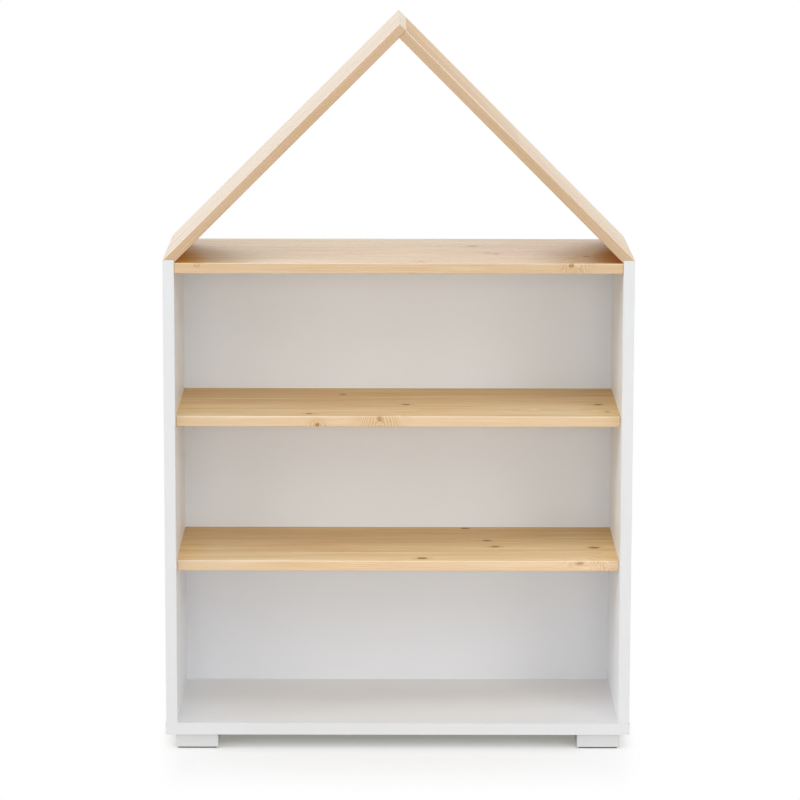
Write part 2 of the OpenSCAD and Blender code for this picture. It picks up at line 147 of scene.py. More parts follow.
# how strongly each of a knot's woods shows
KNOT_WOODS = (("Halo", 0.32, KNOT_HALO), ("Heart", 0.85, KNOT_HEART), ("Rim", 0.74, KNOT_RIM))

# A knot's centre lies at x, y and drop below its shelf's top; a y of None is the shelf's front edge.
# A squeeze below 1 stretches the knot along that axis. radius is the size of its brown wood and brown how
# strongly that shows; reach is how far its rings go, and step how far apart they are.
Knot = namedtuple("Knot", "x y drop squeeze radius reach step brown")


def through(x, y, radius=0.0045, reach=0.014, step=0.0035):
    """A knot that runs up through a shelf."""
    return Knot(x, y, 0.0, (0.72, 1.0, 0.12), radius, reach, step, 1.0)


def outward(x, drop, radius=0.003, reach=0.012, step=0.003, squeeze=(0.85, 0.25, 1.0), brown=1.0):
    """A knot that runs out of a shelf's front edge."""
    return Knot(x, None, drop, squeeze, radius, reach, step, brown)


def ripple(x, drop, reach, step, squeeze=(1.0, 1.6, 1.0)):
    """Rings that a knot behind a shelf's front edge leaves on it, with no brown wood."""
    return Knot(x, None, drop, squeeze, 0.00001, reach, step, 0.0)


def knot_group():
    """One knot's node group. Shift pushes the board's growth rings aside, and Rings adds its own, Step apart.

    Near is 1 at its centre and fades past Reach; Heart, Rim and Halo are the brown wood of Radius, its dark
    edge and the tint round it.
    """
    group = bpy.data.node_groups.new("knot", "ShaderNodeTree")
    vectors, numbers = ("Position", "Centre", "Squeeze"), ("Radius", "Reach", "Step")
    for name in vectors + numbers:
        kind = "NodeSocketVector" if name in vectors else "NodeSocketFloat"
        group.interface.new_socket(name, in_out="INPUT", socket_type=kind)
    for name in ("Shift", "Rings", "Near", "Heart", "Rim", "Halo"):
        kind = "NodeSocketVector" if name == "Shift" else "NodeSocketFloat"
        group.interface.new_socket(name, in_out="OUTPUT", socket_type=kind)
    g = Graph("", group)
    given = g.add("NodeGroupInput", output=None)

    offset = g.vector("SUBTRACT", given["Position"], given["Centre"])
    jitter = g.vector("SUBTRACT", g.noise(given["Position"], 240.0, output=1), (0.5, 0.5, 0.5))
    jitter = g.vector("MULTIPLY", jitter, (RAGGED, RAGGED, RAGGED))
    squeezed = g.vector("ADD", g.vector("MULTIPLY", offset, given["Squeeze"]), jitter)
    distance = g.vector("LENGTH", squeezed, output=1)

    share = g.math("DIVIDE", distance, given["Reach"])
    near = g.math("EXPONENT", g.times(g.math("POWER", share, 4.0), -1.0))
    away = g.times(near, -1.0)
    size = g.math("DIVIDE", distance, given["Radius"])
    patchy = g.remap(g.noise(given["Position"], 330.0, 1.0), 0.35, 0.6, 0.25, 1.0)
    results = {
        "Shift": g.vector("MULTIPLY", offset, g.join(away, away, away)),
        "Rings": g.times(g.math("DIVIDE", given["Reach"], given["Step"]), g.math("TANH", share)),
        "Near": near,
        "Heart": g.remap(size, 1.35, 0.45, curve="SMOOTHSTEP"),
        "Rim": g.times(g.remap(size, 0.3, 0.85), g.remap(size, 1.3, 0.95), patchy),
        "Halo": g.remap(size, 3.2, 0.8, curve="SMOOTHSTEP"),
    }
    g.add("NodeGroupOutput", results, None)
    return group


KNOT = knot_group()


# ---- Pine ----

EARLY_WOOD = rgb(0.86, 0.655, 0.435)
LATE_WOOD = rgb(0.60, 0.355, 0.155)
AMBER_WOOD = rgb(0.77, 0.515, 0.27)
PALE_WOOD = rgb(0.93, 0.775, 0.60)
# the colour of the painted highlight on the upper arris
ARRIS_HIGHLIGHT = rgb(0.97, 0.84, 0.68)

STAVE_W = 0.072
STAVE_OFFSET = 0.37  # of a stave's width, times the board's seed
SEED_STEP = 17.3  # keeps the staves of two boards apart
STAVE_RUN = 9.0  # how far apart two staves may be cut from the tree
PITH_ASIDE = 0.022  # how far the pith may lie beside a stave's middle
PITH_BELOW = (0.028, 0.075)  # and below the board's
SWAY_ASIDE, SWAY_BELOW = 0.016, 0.012  # how far it wanders along the stave
RING_STEP = 0.0029
RING_WAVER = 1.2  # in rings

STREAKS_ACROSS = 26.0  # how much finer the streaks are across the grain than along it
PALE_OFFSET = (3.1, 7.7, 5.3)  # keeps the pale streaks apart from the amber ones

# how strongly the rings and the streaks show on the front and rear edges; Figure says it for the faces
EDGE_RINGS, EDGE_STREAKS = 0.64, 0.42
# how much darker the rings are by a knot, on the broad faces and on the edges
KNOT_RINGS_FACE, KNOT_RINGS_EDGE = 0.35, 0.62

SAP_AND_LIGHT_REACH = 0.024  # the width of the paler strip behind the front edge, partly sapwood and partly painted light
BACK_TONE_INSET = 0.02  # the back tone is complete this far before the rear edge
NEAR_END = (0.190, 0.060)  # how far from the end the tone near it, a painted shade, starts and is complete
JOINT = (0.0018, 0.0008)  # and the same for the dark line of the joint
JOINT_STRENGTH = 0.45
NEAR_END_DULL = 0.19  # how dull the wood is near an end, as a share of its dullness at the end
KNOT_DULL = 0.25  # what a knot adds to the roughness
GLOSS_SPREAD = 0.05  # how far the roughness of pine and of the white finishes varies each way

# how strongly the rings and the streaks show on the broad faces
Figure = namedtuple("Figure", "rings streaks")
# tints of the broad faces at the front and at the back, of the front and rear edges, and of the broad faces
# near both ends and at each of them
Tones = namedtuple("Tones", "front back edge near_end left_end right_end")
# how far behind the front edge the back tone starts, how far the end tones reach, and how fast they retreat
# towards the back at each end
Spread = namedtuple("Spread", "back_start end_reach left_retreat right_retreat")
# left_dull and right_dull are added to the roughness at each end
Gloss = namedtuple("Gloss", "roughness specular left_dull right_dull")
# turn is the board's angle about Y
Board = namedtuple("Board", "name turn seed figure tones spread gloss knots")


class Pine(Graph):
    """Lacquered pine, glued up from staves. Its grain runs along the board's own x."""

    def __init__(self, board):
        super().__init__("pine_" + board.name)
        self.board = board
        self.low, self.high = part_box(board.name)
        self.centre = (self.low + self.high) / 2
        self.deep_half = (self.high.y - self.low.y) / 2
        self.long_half = (self.high.x - self.low.x) / 2 / math.cos(board.turn)
        self.locate()
        self.place_knots()
        self.lay_staves()
        self.grow_rings()
        self.find_ends()
        self.draw_fibres()

    def locate(self):
        """Where the point lies in the board, and which way its surface faces there."""
        spin = Euler((0.0, self.board.turn, 0.0))
        place = {"Vector": self.object_point(), "Location": self.centre, "Rotation": spin}
        self.point = self.add("ShaderNodeMapping", place, vector_type="TEXTURE")
        self.along, self.across, self.deep = self.xyz(self.point)
        facing = {"Vector": self.add("ShaderNodeTexCoord", output="Normal"), "Rotation": spin}
        _, self.face_y, self.face_z = self.xyz(self.add("ShaderNodeMapping", facing, vector_type="TEXTURE"))
        self.on_edge = self.remap(self.math("ABSOLUTE", self.face_y), 0.5, 0.8)
        self.on_face = self.math("SUBTRACT", 1.0, self.on_edge)

    def by_face(self, on_face, on_edge):
        """One number on the broad faces, and another on the front and rear edges."""
        return self.remap(self.on_edge, 0, 1, on_face, on_edge)

    def by_end(self, left, right):
        return self.remap(self.at_right, 0, 1, left, right)

    def place_knots(self):
        """All knots together: their shifts and rings add up, and of the rest the strongest shows."""
        total = {"Shift": (0.0, 0.0, 0.0), "Rings": 0.0, "Near": 0.0, "Heart": 0.0, "Rim": 0.0, "Halo": 0.0}
        to_board = Euler((0.0, self.board.turn, 0.0)).to_matrix().transposed()
        for knot in self.board.knots:
            y = self.low.y if knot.y is None else knot.y
            given = {
                "Position": self.point,
                "Centre": to_board @ (Vector((knot.x, y, self.high.z - knot.drop)) - self.centre),
                "Squeeze": knot.squeeze,
                "Radius": knot.radius,
                "Reach": knot.reach,
                "Step": knot.step,
            }
            made = self.add("ShaderNodeGroup", given, None, node_tree=KNOT)
            total["Shift"] = self.vector("ADD", total["Shift"], made["Shift"])
            total["Rings"] = self.plus(total["Rings"], made["Rings"])
            total["Near"] = self.math("MAXIMUM", total["Near"], made["Near"])
            for key in ("Heart", "Rim", "Halo"):
                total[key] = self.math("MAXIMUM", total[key], self.times(made[key], knot.brown))
        self.knot = total

    def lay_staves(self):
        """Each stave has its own pith, somewhere below the board, which wanders a little along it."""
        seed = self.board.seed
        offset = seed * STAVE_OFFSET
        self.stave = self.math("FLOOR", self.plus(self.math("DIVIDE", self.across, STAVE_W), 0.5 + offset))
        middle = self.times(self.plus(self.stave, -offset), STAVE_W)
        number = {"W": self.plus(self.stave, seed * SEED_STEP)}
        chance = self.add("ShaderNodeTexWhiteNoise", number, 1, noise_dimensions="1D")
        aside, below, self.cut = self.xyz(chance)
        self.run = self.plus(self.along, self.times(self.cut, STAVE_RUN))
        sway = self.noise(self.join(self.run, self.times(self.stave, 3.7), seed), 1.7, 1.5, output=1)
        sway_aside, sway_below, self.stave_tint = self.xyz(sway)

        _, self.bent_y, self.bent_z = self.xyz(self.vector("ADD", self.point, self.knot["Shift"]))
        side = self.math("SUBTRACT", self.bent_y, middle)
        side = self.math("SUBTRACT", side, self.remap(aside, 0, 1, -PITH_ASIDE, PITH_ASIDE))
        self.side = self.plus(side, self.remap(sway_aside, 0.25, 0.75, -SWAY_ASIDE, SWAY_ASIDE))
        depth = self.plus(self.bent_z, self.remap(below, 0, 1, *PITH_BELOW))
        self.depth = self.plus(depth, self.remap(sway_below, 0.25, 0.75, -SWAY_BELOW, SWAY_BELOW))

    def grain(self, long_scale, cross_scale):
        """Coordinates for a noise along the grain, which the knots push aside."""
        return self.scaled(self.run, self.bent_y, self.bent_z, (long_scale, cross_scale, cross_scale))

    def grow_rings(self):
        """late is how dark the wood is within its ring: it darkens slowly and ends at a sharp line."""
        squares = self.plus(self.times(self.side, self.side), self.times(self.depth, self.depth))
        waver = self.times(self.noise(self.grain(12.0, 55.0), 1.0, 2.0), RING_WAVER)
        from_pith = self.math("DIVIDE", self.math("SQRT", squares), RING_STEP)
        self.rings = self.plus(from_pith, waver, self.knot["Rings"])
        within = self.math("FRACT", self.rings)
        self.late = self.times(
            self.remap(within, 0.15, 0.86, curve="SMOOTHSTEP"),
            self.remap(within, 1.0, 0.9),
        )

    def find_ends(self):
        """near_end and at_end are 0 in the middle and 1 at an end."""
        spread = self.board.spread
        self.from_front = self.plus(self.across, self.deep_half)
        self.off_middle = self.math("ABSOLUTE", self.along)
        self.at_right = self.math("GREATER_THAN", self.along, 0.0)
        retreat = self.by_end(spread.left_retreat, spread.right_retreat)
        behind = self.times(self.math("POWER", self.from_front, 3.0), retreat)
        from_end = self.plus(self.math("SUBTRACT", self.long_half, self.off_middle), behind)
        self.near_end = self.remap(from_end, *NEAR_END, curve="SMOOTHSTEP")
        self.at_end = self.times(self.remap(from_end, spread.end_reach, 0.0), self.on_face)

    def draw_fibres(self):
        """pale is the noise of the long pale streaks, and fibre that of the finest grain."""
        elsewhere = self.vector("ADD", self.grain(1.0, STREAKS_ACROSS), PALE_OFFSET)
        self.pale = self.noise(elsewhere, 3.4, 3.0, 0.55)
        thin = self.scaled(self.run, self.across, self.deep, (9.0, 420.0, 420.0))
        self.fibre = self.noise(thin, 1.0, 3.0, 0.65)
        self.streaks = self.by_face(self.board.figure.streaks, EDGE_STREAKS)

    def ring_colour(self):
        uneven = self.noise(self.join(self.times(self.rings, 0.31), self.stave, self.run), 1.0, 1.0)
        strength = self.by_face(self.board.figure.rings, EDGE_RINGS)
        contrast = self.times(self.vary(uneven, 0.18, 0.68), strength)
        by_knot = self.times(self.knot["Near"], self.by_face(KNOT_RINGS_FACE, KNOT_RINGS_EDGE))
        return self.mix(self.times(self.late, self.plus(contrast, by_knot)), EARLY_WOOD, LATE_WOOD)

    def streaked(self, colour):
        """Long amber and pale streaks, short dark flecks and fibres shift the tone."""
        patch = self.noise(self.grain(1.0, 3.0), 7.0, 2.0)
        amber = self.noise(self.grain(1.0, STREAKS_ACROSS), 2.6, 3.0, 0.6)
        for share, wood in (
            (self.remap(patch, 0.45, 0.68, 0.0, 0.75), AMBER_WOOD),
            (self.remap(amber, 0.42, 0.68), AMBER_WOOD),
            (self.remap(self.pale, 0.48, 0.70, 0.0, 0.85), PALE_WOOD),
        ):
            colour = self.mix(self.times(share, self.streaks), colour, wood)
        dashes = self.noise(self.grain(45.0, 520.0), 1.0, 2.0)
        flecks = self.times(self.remap(dashes, 0.60, 0.72, 0.0, 0.14), self.streaks)
        level = self.times(
            self.remap(self.fibre, 0.25, 0.75, 0.94, 1.04),
            self.vary(self.stave_tint, 0.96, 1.04),
            self.remap(self.cut, 0, 1, 0.955, 1.025),
            self.math("SUBTRACT", 1.0, flecks),
        )
        return self.dimmed(colour, level)

    def toned(self, colour):
        """Tones of the faces, edges and ends, which on most boards are painted light and painted shade, and
        paler wood along the front, partly sapwood and partly painted light.
        """
        tone = Tones(*(rgb(*values) for values in self.board.tones))
        back_full = 2 * self.deep_half - BACK_TONE_INSET
        far_back = self.remap(self.from_front, self.board.spread.back_start, back_full)
        # painted light and shade: the face tones change from front to back, and the end tones darken the ends
        face_tone = self.mix(far_back, tone.front, tone.back)
        colour = self.tinted(colour, self.mix(self.on_edge, face_tone, tone.edge))
        near = self.times(self.near_end, self.on_face)
        colour = self.mix(near, colour, self.tinted(colour, tone.near_end))
        end_tone = self.mix(self.at_right, tone.left_end, tone.right_end)
        colour = self.mix(self.at_end, colour, self.tinted(colour, end_tone))
        # the paler strip along the front is partly sapwood and partly painted light
        sap_and_light = self.times(
            self.remap(self.from_front, 0.0, SAP_AND_LIGHT_REACH, 0.34, 0.0),
            self.remap(self.pale, 0.36, 0.58, 0.2, 1.0),
            self.math("SUBTRACT", self.on_face, self.at_end),
        )
        return self.mix(sap_and_light, colour, PALE_WOOD)

    def knotted(self, colour):
        for key, share, wood in KNOT_WOODS:
            colour = self.mix(self.times(self.knot[key], share), colour, wood)
        return colour

    def arris_lit_and_shaded(self, colour):
        """The upper arris gets a painted highlight, in patches, and the lower one painted shade, a little
        darker.
        """
        both = self.times(self.times(self.face_y, self.face_y), self.times(self.face_z, self.face_z))
        arris = self.remap(both, 0.03, 0.2)
        highlit = self.times(self.remap(self.face_z, 0.1, 0.3), self.remap(self.pale, 0.36, 0.56, 0.35, 0.8))
        colour = self.mix(self.times(arris, highlit), colour, ARRIS_HIGHLIGHT)
        shaded = self.remap(self.face_z, -0.1, -0.3, 0.0, 0.3)
        return self.mix(self.times(arris, shaded), colour, LATE_WOOD)

    def jointed(self, colour):
        """A shelf meets the side panels at dark joint lines."""
        start, full = (self.long_half - distance for distance in JOINT)
        joint = self.times(self.remap(self.off_middle, start, full), self.on_edge)
        return self.mix(self.times(joint, JOINT_STRENGTH), colour, KNOT_RIM)

    def dullness(self):
        """What the ends and the knots add to the roughness."""
        near = self.times(self.math("POWER", self.near_end, 2.0), NEAR_END_DULL)
        by_end = self.by_end(self.board.gloss.left_dull, self.board.gloss.right_dull)
        ends = self.times(self.math("MAXIMUM", self.at_end, near), by_end)
        knots = self.times(self.math("MAXIMUM", self.knot["Heart"], self.knot["Rim"]), KNOT_DULL)
        return self.plus(ends, knots)

    def make(self):
        colour = self.arris_lit_and_shaded(self.knotted(self.toned(self.streaked(self.ring_colour()))))
        if self.board.turn == 0.0:  # a shelf
            colour = self.jointed(colour)
        gloss = self.board.gloss
        roughness = self.vary(self.fibre, gloss.roughness - GLOSS_SPREAD, gloss.roughness + GLOSS_SPREAD)
        relief = self.plus(self.times(self.late, 0.5), self.times(self.fibre, 0.8))
        return self.principled(
            {
                "Base Color": colour,
                "Roughness": self.plus(roughness, self.dullness()),
                "Specular IOR Level": gloss.specular,
                "IOR": 1.5,
                "Normal": self.bump(relief, 0.05, 0.0001),
            }
        )


# ---- White board, edging and feet ----

PLASTIC_IOR = 1.48
GLIDE_H = 0.002  # the height of a foot's dark base: a rubbery glide and painted shade of the gap beneath the foot


def white(name, colour, roughness, pore, strength):
    """A matt white finish: faintly cloudy, with a fine pearl, pore in size, that breaks up its gloss."""
    g = Graph(name)
    point = g.object_point()
    cloud = g.noise(point, 7.0, 3.0)
    pearl = g.noise(point, 1.0 / pore, 2.0, 0.55)
    fleck = g.noise(point, 4.0 / pore, 1.0)
    level = g.times(g.vary(cloud, 0.988, 1.008), g.vary(pearl, 0.993, 1.004))
    uneven = g.plus(pearl, g.times(cloud, 0.5))
    return g.principled(
        {
            "Base Color": g.dimmed(colour, level),
            "Roughness": g.remap(uneven, 0.5, 1.0, roughness - GLOSS_SPREAD, roughness + GLOSS_SPREAD),
            "IOR": PLASTIC_IOR,
            "Normal": g.bump(g.plus(pearl, g.times(fleck, 0.4)), strength, 0.0001),
        }
    )


def foot_plastic(name, colour):
    """Matt moulded plastic, on a dark base that is a rubbery glide and painted shade of the gap beneath the
    foot.
    """
    g = Graph(name)
    point = g.object_point()
    above = g.remap(g.xyz(point)[2], GLIDE_H - 0.0001, GLIDE_H + 0.0001)
    pearl = g.noise(point, 1100.0, 2.0, 0.55)
    cloud = g.noise(point, 30.0, 3.0)
    level = g.times(g.vary(cloud, 0.988, 1.008), g.vary(pearl, 0.985, 1.008))
    glide_and_shade = g.mix(g.vary(pearl), rgb(0.035, 0.035, 0.035), rgb(0.06, 0.06, 0.06))
    return g.principled(
        {
            "Base Color": g.mix(above, glide_and_shade, g.dimmed(colour, level)),
            "Roughness": g.math("SUBTRACT", g.vary(pearl, 0.78, 0.84), g.times(above, 0.34)),
            "IOR": PLASTIC_IOR,
            "Normal": g.bump(pearl, 0.18, 0.0001),
        }
    )


BACK_WHITE = (rgb(0.770, 0.795, 0.835), rgb(0.788, 0.812, 0.855))
# painted shade in the lowest bay, and a painted cooler tint above each shelf against the pine's warm bounced
# light
LOWEST_BAY_SHADE = rgb(0.975, 0.96, 0.95)
BOUNCE_COUNTER_TONE = rgb(1.0, 1.035, 1.06)
BOUNCE_COUNTER_REACH = 0.2
WITHIN_SHELF = 0.01  # tones change this far below a shelf's top, where the shelf hides it
PAINT_DEPTH = (0.0005, 0.0007)  # the white gives way to bare fibres between these depths


def back_board(name, front_face_y, shelf_tops):
    """Thin fibreboard: white on its front face, bare brown fibres behind.

    shelf_tops are heights, from the lowest up. The white is a little greyer below the first of them, painted
    shade, and cooler just above each, painted to cancel the warm light that the pine shelves bounce onto it.
    """
    g = Graph(name)
    point = g.object_point()
    _, depth, height = g.xyz(point)
    behind = g.remap(depth, *(front_face_y + inwards for inwards in PAINT_DEPTH))
    cloud = g.noise(point, 6.0, 3.0)
    fibres = g.noise(point, 900.0, 3.0, 0.7)
    flakes = g.noise(point, 190.0, 2.0, 0.6)
    pearl = g.noise(point, 1400.0, 2.0)
    above = [g.math("GREATER_THAN", height, shelf_top - WITHIN_SHELF) for shelf_top in shelf_tops]
    face = g.mix(g.vary(cloud), *BACK_WHITE)
    face = g.mix(above[0], g.tinted(face, LOWEST_BAY_SHADE), face)
    for shelf_top, is_above in zip(shelf_tops, above):
        counter_bounce = g.times(is_above, g.remap(height, shelf_top, shelf_top + BOUNCE_COUNTER_REACH, 1.0, 0.0))
        face = g.mix(counter_bounce, face, g.tinted(face, BOUNCE_COUNTER_TONE))
    brown = g.mix(g.remap(fibres, 0.35, 0.65), rgb(0.34, 0.225, 0.14), rgb(0.50, 0.36, 0.235))
    brown = g.mix(g.remap(flakes, 0.58, 0.72, 0.0, 0.5), brown, rgb(0.25, 0.155, 0.09))
    relief = g.plus(pearl, g.times(fibres, behind, 2.0))
    return g.principled(
        {
            "Base Color": g.mix(behind, face, brown),
            "Roughness": g.remap(behind, 0, 1, 0.5, 0.8),
            "IOR": PLASTIC_IOR,
            "Normal": g.bump(relief, 0.15, 0.0002),
        }
    )


# ---- Fittings ----


def metal(name, colour, roughness, grain):
    """Plated or cast metal: a grey that varies softly, with fine speckle, grain in size, in its surface."""
    g = Graph(name)
    point = g.object_point()
    cloud = g.noise(point, 160.0, 3.0)
    speckle = g.noise(point, 1.0 / grain, 3.0, 0.6)
    darker = rgb(*(0.82 * channel for channel in colour))
    return g.principled(
        {
            "Base Color": g.mix(g.remap(cloud, 0.35, 0.7), rgb(*colour), darker),
            "Metallic": 1.0,
            "Roughness": g.vary(speckle, roughness - 0.07, roughness + 0.09),
            "Normal": g.bump(speckle, 0.2, 0.00008),
        }
    )


def beech(name):
    """Turned beech: short dark flecks along the dowel in pinkish wood."""
    g = Graph(name)
    point = g.object_point()
    fleck = g.noise(g.scaled(*g.xyz(point), (90.0, 900.0, 900.0)), 1.0, 2.0, 0.6)
    tone = g.noise(point, 60.0, 2.0)
    wood = g.mix(g.vary(tone), rgb(0.72, 0.50, 0.335), rgb(0.66, 0.45, 0.29))
    return g.principled(
        {
            "Base Color": g.mix(g.remap(fleck, 0.55, 0.68, 0.0, 0.45), wood, rgb(0.42, 0.25, 0.14)),
            "Roughness": g.vary(fleck, 0.5, 0.62),
            "Normal": g.bump(fleck, 0.2, 0.0001),
        }
    )


# ---- The CAD pieces get their finishes ----


def paint(material, *names):
    for name in names:
        nodes[name].data.materials.clear()
        nodes[name].data.materials.append(material)


def soften(width, *names):
    """Rounds the sharp edges of CAD pieces a little, so that they catch the light."""
    for name in names:
        weld = nodes[name].modifiers.new("weld", "WELD")
        weld.merge_threshold = 0.00001
        bevel = nodes[name].modifiers.new("soft_edges", "BEVEL")
        bevel.width = width
        bevel.segments = 2
        bevel.limit_method = "ANGLE"
        bevel.angle_limit = math.radians(40)
        bevel.harden_normals = True


TOP_KNOTS = (
    outward(0.2737, 0.0034, 0.0030, 0.0165, 0.0032, brown=0.9),
    ripple(0.2900, 0.0210, 0.0190, 0.0042, (1.0, 1.6, 0.45)),
    ripple(-0.3205, 0.0020, 0.0060, 0.0030),
    through(0.1220, 0.0560, 0.0038),
    through(0.1440, -0.0260, 0.0028),
    through(0.1575, -0.0365, 0.0035),
    through(0.0360, -0.1320, 0.0030),
    through(0.3020, -0.0650, 0.0038),
)
MIDDLE_KNOTS = (
    outward(-0.1303, 0.0140, 0.0026, 0.0140, 0.0034),
    outward(-0.0300, 0.0034, 0.0028, 0.0050, 0.0030, (0.9, 1.0, 0.55), 0.7),
    ripple(-0.0300, 0.0260, 0.0420, 0.0048, (1.0, 1.6, 0.4)),
    through(-0.0910, 0.0850, 0.0038),
    through(-0.1440, -0.0970, 0.0034),
    through(0.0130, -0.0110, 0.0044),
    through(0.3270, -0.0090, 0.0042),
    through(0.3380, -0.0760, 0.0028),
)
LOWER_KNOTS = (
    outward(0.2941, 0.0042, 0.0028, 0.0150, 0.0034, (0.5, 0.25, 1.2), 0.65),
    ripple(0.3240, 0.0085, 0.0150, 0.0038, (1.0, 1.6, 0.25)),
    ripple(0.3470, 0.0200, 0.0110, 0.0036),
    through(0.1140, 0.1350, 0.0050),
    through(0.1480, 0.0370, 0.0040),
    through(0.1600, -0.0110, 0.0042),
    through(0.0390, -0.1010, 0.0054),
    through(0.3220, -0.0180, 0.0054),
)

STRONG, SOFT, FAINT = Figure(1.1, 1.0), Figure(0.7, 0.9), Figure(0.5, 0.45)

PLAIN = (1.0, 1.0, 1.0)
# The top shelf's broad faces are paler towards the back, a painted reflection, and darker and more amber near
# and at its ends: painted shade under the roof boards.
TOP_TONES = Tones(
    front=(1.09, 1.125, 1.03),
    back=(1.14, 1.20, 1.10),
    edge=(0.797, 0.758, 0.685),
    near_end=(0.71, 0.67, 0.535),
    left_end=(1.18, 0.81, 0.18),
    right_end=(0.70, 0.32, 0.0),
)
# The middle and lower shelves' broad faces are painted lighter at the front, darker and more amber at the
# back where the shelf above shades them, and a little darker at the ends: painted light and shade.
MIDDLE_TONES = Tones(
    front=(1.125, 1.15, 1.0),
    back=(0.895, 0.80, 0.505),
    edge=(0.90, 0.90, 0.87),
    near_end=PLAIN,
    left_end=(0.97, 0.92, 0.80),
    right_end=(0.97, 0.92, 0.80),
)
LOWER_TONES = MIDDLE_TONES._replace(edge=(0.87, 0.86, 0.825))
# The left roof board's broad faces are painted paler and bluer: painted sheen.
LEFT_ROOF_TONES = Tones(
    front=(1.0, 1.04, 1.12),
    back=(1.0, 1.04, 1.12),
    edge=(0.677, 0.612, 0.545),
    near_end=PLAIN,
    left_end=PLAIN,
    right_end=PLAIN,
)
# The right roof board's broad faces are painted darker at the front and paler at the back, darker towards one
# end and paler and bluer towards the other: painted shade and painted sheen.
RIGHT_ROOF_TONES = Tones(
    front=(0.90, 0.76, 0.52),
    back=(1.0, 0.98, 0.90),
    edge=(0.66, 0.61, 0.555),
    near_end=PLAIN,
    left_end=(0.94, 0.87, 0.74),
    right_end=(1.06, 1.11, 1.22),
)

TOP_SPREAD = Spread(0.05, 0.065, 11.0, 5.5)
SHELF_SPREAD = Spread(0.05, 0.060, 0.0, 0.0)
ROOF_SPREAD = Spread(0.12, 0.32, 0.0, 0.0)

SATIN = Gloss(0.50, 0.35, 0.0, 0.0)
SHINY = Gloss(0.27, 0.5, 0.0, 0.0)
DULL_ENDS = Gloss(0.27, 0.5, 0.48, 0.58)
DULL_RIDGE = Gloss(0.27, 0.5, 0.18, 0.0)

SLOPE = math.radians(45)
for board in (
    Board("top_shelf", 0.0, 1.0, STRONG, TOP_TONES, TOP_SPREAD, DULL_ENDS, TOP_KNOTS),
    Board("middle_shelf", 0.0, 2.0, SOFT, MIDDLE_TONES, SHELF_SPREAD, SATIN, MIDDLE_KNOTS),
    Board("lower_shelf", 0.0, 3.0, SOFT, LOWER_TONES, SHELF_SPREAD, SATIN, LOWER_KNOTS),
    Board("left_roof_board", -SLOPE, 4.0, FAINT, LEFT_ROOF_TONES, ROOF_SPREAD, SHINY, ()),
    Board("right_roof_board", SLOPE, 5.0, FAINT, RIGHT_ROOF_TONES, ROOF_SPREAD, DULL_RIDGE, ()),
):
    paint(Pine(board).make(), board.name)

# The board white is brighter and bluer than the edging's, though both stand for one white: painted light on
# its shaded inside faces, painted cooler to cancel the pine's warm bounced light.
BOARD_WHITE, EDGING_WHITE = rgb(0.887, 0.912, 0.952), rgb(0.700, 0.705, 0.708)
FOOT_WHITE = rgb(0.63, 0.63, 0.63)
WHITE_BOARDS = ("left_side_panel", "right_side_panel", "bottom_panel")
EDGING = [name for name in nodes if name.endswith("_edging")]
FEET = [name for name in nodes if name.endswith("_foot")]
paint(white("white_board", BOARD_WHITE, 0.45, 0.0011, 0.10), *WHITE_BOARDS)
paint(white("white_edging", EDGING_WHITE, 0.42, 0.0016, 0.07), *EDGING)
paint(foot_plastic("white_foot", FOOT_WHITE), *FEET)
lower_tops = [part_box(name)[1].z for name in ("lower_shelf", "middle_shelf")]
paint(back_board("white_back_board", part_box("back_panel")[0].y, lower_tops), "back_panel")

CAMS = [name for name in nodes if name.endswith("_cams")]
BOLTS = [name for name in nodes if name.endswith("_bolts")]
SCREWS = ("foot_screws", "base_screws", "back_panel_nails")
DOWELS = [name for name in nodes if name.endswith("_dowels")]
paint(metal("cast_zinc", (0.62, 0.63, 0.65), 0.42, 0.0007), *CAMS)
paint(metal("plated_bolts", (0.66, 0.66, 0.67), 0.30, 0.0004), *BOLTS)
paint(metal("steel_screws", (0.60, 0.60, 0.61), 0.34, 0.0005), *SCREWS)
paint(beech("beech_dowels"), *DOWELS)

soften(0.0004, *EDGING, *WHITE_BOARDS)
soften(0.0009, "top_shelf", "middle_shelf", "lower_shelf")


# ---- Floor and surroundings ----

FLOOR_SIZE = 60.0
FLOOR_WHITE = rgb(0.85, 0.85, 0.855)
# the glow is painted dimmer and warmer under the case than ahead of it: painted shade of the case's shadow
GLOW_UNDER, GLOW_AHEAD = rgb(0.168, 0.162, 0.132), rgb(0.193, 0.214, 0.234)
AHEAD_REACH = 0.035  # the glow under the case gives way to the one ahead of it over this distance
SHADOW_NEAR, SHADOW_FAR = 0.02, 0.30  # the shadow fades to plain white between these distances from the case
SIDE_FADE = 5.0  # and this much sooner beside the case than in front of it
SIDE_INSET = 0.040  # where it starts this far inside the case's sides
WORLD_LEVEL = 0.649


def seen_directly(g):
    """1 for what the camera, a reflection or clear material sees, and 0 for what lights the object."""
    path = g.add("ShaderNodeLightPath", output=None)
    seen = g.math("MAXIMUM", path["Is Camera Ray"], path["Is Glossy Ray"])
    return g.math("MAXIMUM", seen, path["Is Transmission Ray"])


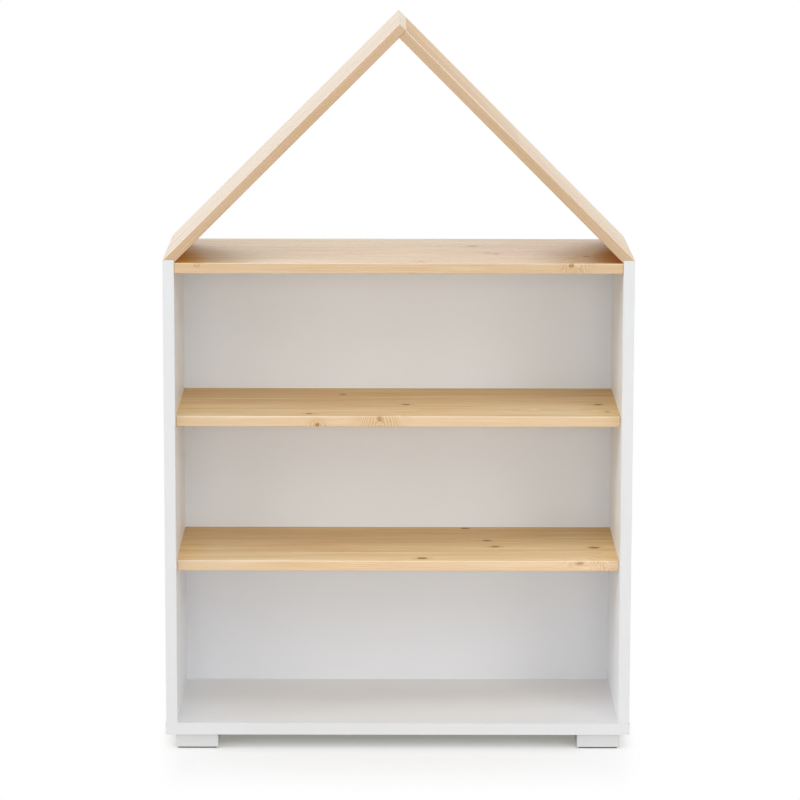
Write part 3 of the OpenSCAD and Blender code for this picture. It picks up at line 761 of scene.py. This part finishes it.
def floor_material():
    """A white floor that keeps the object's shadow and turns plain white away from it."""
    g = Graph("floor")
    point = g.object_point()
    seen = seen_directly(g)
    low, high = cad_box
    half = ((high.x - low.x) / 2 - SIDE_INSET, (high.y - low.y) / 2, 0.0)
    outside = g.vector("SUBTRACT", g.vector("ABSOLUTE", point), half)
    outside = g.vector("MAXIMUM", outside, (0.0, 0.0, 0.0))
    away = g.vector("LENGTH", g.vector("MULTIPLY", outside, (SIDE_FADE, 1.0, 1.0)), output=1)
    plain = g.times(g.remap(away, SHADOW_NEAR, SHADOW_FAR, curve="SMOOTHSTEP"), seen)
    shade = g.dimmed(FLOOR_WHITE, g.vary(g.noise(point, 30.0, 3.0), 0.995, 1.0))
    lit = g.add("ShaderNodeBsdfDiffuse", {"Color": shade})
    ahead = g.remap(g.xyz(point)[1], low.y, low.y - AHEAD_REACH)
    glow = g.add("ShaderNodeEmission", {"Color": g.mix(ahead, GLOW_UNDER, GLOW_AHEAD), "Strength": seen})
    ground = g.add("ShaderNodeAddShader", {0: lit, 1: glow})
    white_light = g.add("ShaderNodeEmission", {"Color": rgb(1, 1, 1), "Strength": 1.0})
    return g.finish(g.add("ShaderNodeMixShader", {0: plain, 1: ground, 2: white_light}))


def make_floor():
    half = FLOOR_SIZE / 2
    mesh = bpy.data.meshes.new("floor")
    corners = [(-half, -half, 0), (half, -half, 0), (half, half, 0), (-half, half, 0)]
    mesh.from_pydata(corners, [], [(0, 1, 2, 3)])
    mesh.materials.append(floor_material())
    floor = bpy.data.objects.new("floor", mesh)
    bpy.context.scene.collection.objects.link(floor)


def make_world():
    """White where it is seen, and dimmer as a light."""
    world = bpy.data.worlds.new("studio")
    world.use_nodes = True
    world.node_tree.nodes.clear()
    g = Graph("", world.node_tree)
    level = g.remap(seen_directly(g), 0, 1, WORLD_LEVEL, 1.0)
    sky = g.add("ShaderNodeBackground", {"Color": rgb(1, 1, 1), "Strength": level})
    g.add("ShaderNodeOutputWorld", {"Surface": sky}, None)
    bpy.context.scene.world = world


# each lamp's direction from the object, and its strength
LAMPS = {
    "front_left_lamp": ((-5.0, -10.0, 6.0), 0.126),
    "front_right_lamp": ((5.0, -10.0, 6.0), 0.36),
    "front_low_lamp": ((0.0, -12.0, 0.9), 0.558),
    "low_left_lamp": ((-6.0, -10.4, 0.9), 0.145),
    "low_right_lamp": ((6.0, -10.4, 0.9), 0.197),
    "steep_lamp": ((0.0, -4.0, 8.4), 0.32),
    "left_lamp": ((-9.2, -3.0, 3.6), 0.549),
}
LAMP_ANGLE = 0.38


def make_lamps():
    """Broad, far lamps, which light the top and the bottom of the object alike."""
    for name, (towards, strength) in LAMPS.items():
        data = bpy.data.lights.new(name, "SUN")
        data.angle = LAMP_ANGLE
        data.energy = strength
        lamp = bpy.data.objects.new(name, data)
        lamp.matrix_world = Vector(towards).to_track_quat("Z", "Y").to_matrix().to_4x4()
        bpy.context.scene.collection.objects.link(lamp)


make_floor()
make_world()
make_lamps()


# ---- Camera: the photograph's viewpoint ----

CAMERA_PLACE = (-0.0257, -6.2427, 1.6441)
CAMERA_DOWN = math.radians(9.96)
CAMERA_TURN = math.radians(-0.2434)
CAMERA_ROLL = math.radians(0.1263)
LENS, SENSOR_W = 174.38, 36.0
SHIFT_X, SHIFT_Y = 0.00175, 0.0006
CLIP_END = 200.0


def make_camera():
    data = bpy.data.cameras.new("camera")
    data.sensor_width = SENSOR_W
    data.lens = LENS
    data.shift_x = SHIFT_X
    data.shift_y = SHIFT_Y
    data.clip_end = CLIP_END
    camera = bpy.data.objects.new("camera", data)
    camera.matrix_world = (
        Matrix.Translation(CAMERA_PLACE)
        @ Matrix.Rotation(CAMERA_TURN, 4, "Z")
        @ Matrix.Rotation(math.pi / 2 - CAMERA_DOWN, 4, "X")
        @ Matrix.Rotation(CAMERA_ROLL, 4, "Z")
    )
    bpy.context.scene.collection.objects.link(camera)
    return camera


bpy.context.scene.camera = make_camera()
bpy.context.scene.view_settings.view_transform = "Standard"
